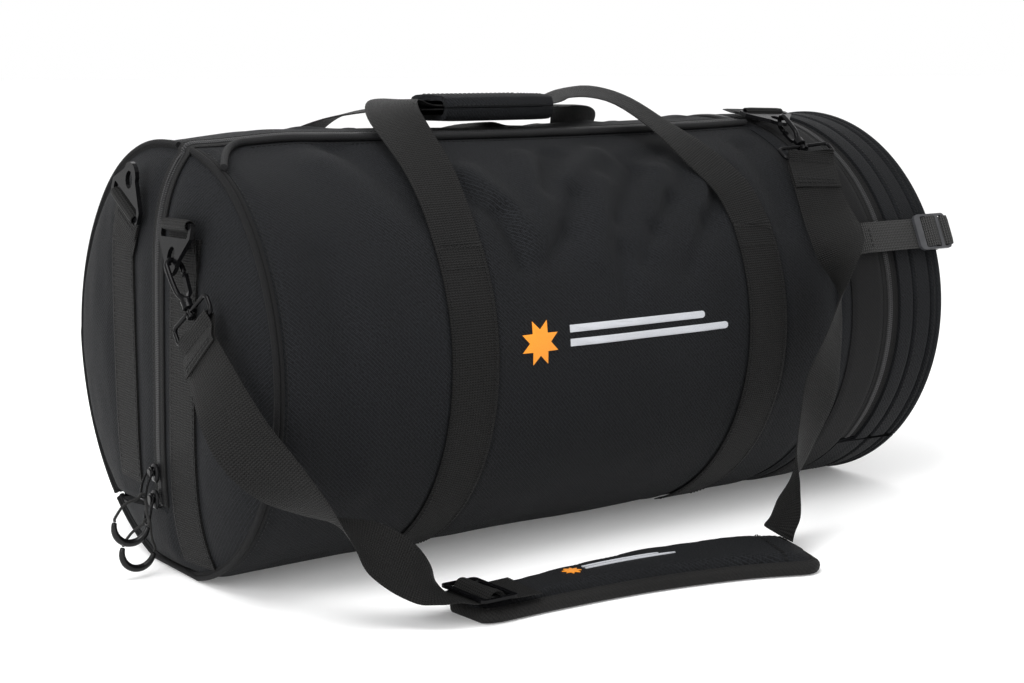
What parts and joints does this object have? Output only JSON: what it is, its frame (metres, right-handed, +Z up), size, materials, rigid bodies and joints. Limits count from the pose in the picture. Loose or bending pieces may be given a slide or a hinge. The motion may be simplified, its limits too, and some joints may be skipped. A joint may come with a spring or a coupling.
{
  "type": "telescope carry case",
  "caption": "Padded cylindrical carry case for a telescope tube: opening back panel, end pocket, two grab handles and a clip-on shoulder strap with a pad.",
  "frame": {"origin": "middle of the flat underside, below the barrel's axis", "axes": "+X along the barrel towards the end pocket, +Y towards the opening back panel, +Z up; the handles' front and the shoulder strap are at -Y"},
  "size_m": [0.687, 0.4331, 0.3395],
  "materials": {
    "nylon": "matte",
    "webbing": "coarse weave",
    "trim": "matte",
    "foam": "matte",
    "black_metal": "gloss",
    "grey_plastic": "satin",
    "black_plastic": "gloss"
  },
  "bodies": {
    "case": {"front_cover": "nylon", "front_foam": "foam", "collar_cover": "nylon", "collar_foam": "foam", "band_ring": "webbing", "partition_pad": "foam", "left_end_front": "nylon", "left_foam_front": "foam", "left_piping_front": "trim", "end_webbing_front": "webbing", "ring_tab_front": "webbing", "ring_tab_right": "webbing", "zipper_top_front": "trim", "zipper_end_front": "trim", "storm_flap_cord": "trim", "front_handle": "webbing", "end_zip_body": "trim", "end_sill": "nylon", "sill_face": "nylon", "compression_strap": "webbing", "shoulder_strap_left": "webbing", "shoulder_strap_right": "webbing", "shoulder_pad": "nylon", "triglide": "black_metal", "strap_loop_left": "black_metal", "strap_loop_right": "black_metal"},
    "lid": {"back_cover": "nylon", "back_foam": "foam", "left_end_back": "nylon", "left_foam_back": "foam", "left_piping_back": "trim", "end_webbing_back": "webbing", "ring_tab_back": "webbing", "zipper_top_back": "trim", "zipper_end_back": "trim", "back_handle": "webbing", "grip_body": "nylon"},
    "end_cap": {"end_zip_cap": "trim", "cap_cover": "nylon", "cap_face": "nylon", "ladder_lock": "grey_plastic", "buckle_loop": "webbing"},
    "flap": {"grip_flap": "nylon"},
    "front_left_ring": {"ring_front_left": "black_metal"},
    "back_left_ring": {"ring_back_left": "black_metal"},
    "right_ring": {"ring_right": "black_metal"},
    "left_hook": {"hook_left": "black_metal"},
    "left_gate": {"gate_left": "black_metal"},
    "right_hook": {"hook_right": "black_metal"},
    "right_gate": {"gate_right": "black_metal"},
    "upper_slider": {"slider_upper": "black_metal"},
    "upper_puller": {"puller_upper": "black_metal", "pull_cord_upper": "webbing", "pull_grip_upper": "black_plastic"},
    "lower_slider": {"slider_lower": "black_metal"},
    "lower_puller": {"puller_lower": "black_metal", "pull_cord_lower": "webbing", "pull_grip_lower": "black_plastic"},
    "end_zip_slider": {"end_slider": "black_metal"},
    "end_zip_tab": {"end_pull_tab": "black_metal"}
  },
  "joints": [
    {"name": "lid_hinge", "type": "hinge", "parent": "case", "child": "lid", "pos_m": [0, 0.10156, 0.03396], "axis": [-1, 0, 0], "range_deg": [0, 60], "deforming": ["front_handle"]},
    {"name": "cap_hinge", "type": "hinge", "parent": "case", "child": "end_cap", "pos_m": [0.3126, 0, 0.043], "axis": [0, 1, 0], "range_deg": [0, 90]},
    {"name": "grip_flap_hinge", "type": "hinge", "parent": "lid", "child": "flap", "pos_m": [0, -0.034, 0.3241], "axis": [1, 0, 0], "range_deg": [0, 100]},
    {"name": "ring_front_left_swing", "type": "hinge", "parent": "case", "child": "front_left_ring", "pos_m": [-0.3308, -0.064, 0.2525], "axis": [0, 0.9998, -0.0204], "range_deg": [0, 3]},
    {"name": "ring_back_left_swing", "type": "hinge", "parent": "lid", "child": "back_left_ring", "pos_m": [-0.3308, 0.0185, 0.2598], "axis": [0, -0.8751, -0.484], "range_deg": [0, 165]},
    {"name": "ring_right_swing", "type": "hinge", "parent": "case", "child": "right_ring", "pos_m": [0.211, -0.04309, 0.31583], "axis": [-0.9945, 0.1009, 0.0274], "range_deg": [0, 2]},
    {"name": "hook_left_swivel", "type": "hinge", "parent": "case", "child": "left_hook", "pos_m": [-0.33637, -0.09043, 0.19833], "axis": [0, 0.6091, 0.7931], "range_deg": [-10, 10]},
    {"name": "gate_left_hinge", "type": "hinge", "parent": "left_hook", "child": "left_gate", "pos_m": [-0.3334, -0.08279, 0.20759], "axis": [0.1393, -0.7854, 0.6031], "range_deg": [0, 16], "stiffness_Nm_per_rad": 0.02, "springref_deg": -17.19},
    {"name": "hook_right_swivel", "type": "hinge", "parent": "case", "child": "right_hook", "pos_m": [0.20194, -0.09997, 0.29046], "axis": [0.1599, 0.8393, 0.5196], "range_deg": [-10, 10]},
    {"name": "gate_right_hinge", "type": "hinge", "parent": "right_hook", "child": "right_gate", "pos_m": [0.20446, -0.08843, 0.29415], "axis": [0.966, -0.2414, 0.0928], "range_deg": [0, 16], "stiffness_Nm_per_rad": 0.02, "springref_deg": -17.19},
    {"name": "slider_upper_slide", "type": "slide", "parent": "case", "child": "upper_slider", "axis": [0, -0.0526, 0.9986], "range_m": [0, 0.16]},
    {"name": "slider_lower_slide", "type": "slide", "parent": "case", "child": "lower_slider", "axis": [0, -0.0526, 0.9986], "range_m": [0, 0.005]},
    {"name": "puller_upper_swing", "type": "hinge", "parent": "upper_slider", "child": "upper_puller", "pos_m": [-0.3323, -0.01337, 0.0803], "axis": [0, 1, 0], "range_deg": [0, 60]},
    {"name": "puller_lower_swing", "type": "hinge", "parent": "lower_slider", "child": "lower_puller", "pos_m": [-0.3323, -0.01237, 0.0613], "axis": [0, 1, 0], "range_deg": [0, 8]},
    {"name": "end_slider_travel", "type": "hinge", "parent": "case", "child": "end_zip_slider", "pos_m": [0.25, 0, 0.155], "axis": [1, 0, 0], "range_deg": [0, 250]},
    {"name": "end_tab_swing", "type": "hinge", "parent": "end_zip_slider", "child": "end_zip_tab", "pos_m": [0.25, 0.13066, 0.06076], "axis": [-1, 0, 0], "range_deg": [0, 120]}
  ]
}
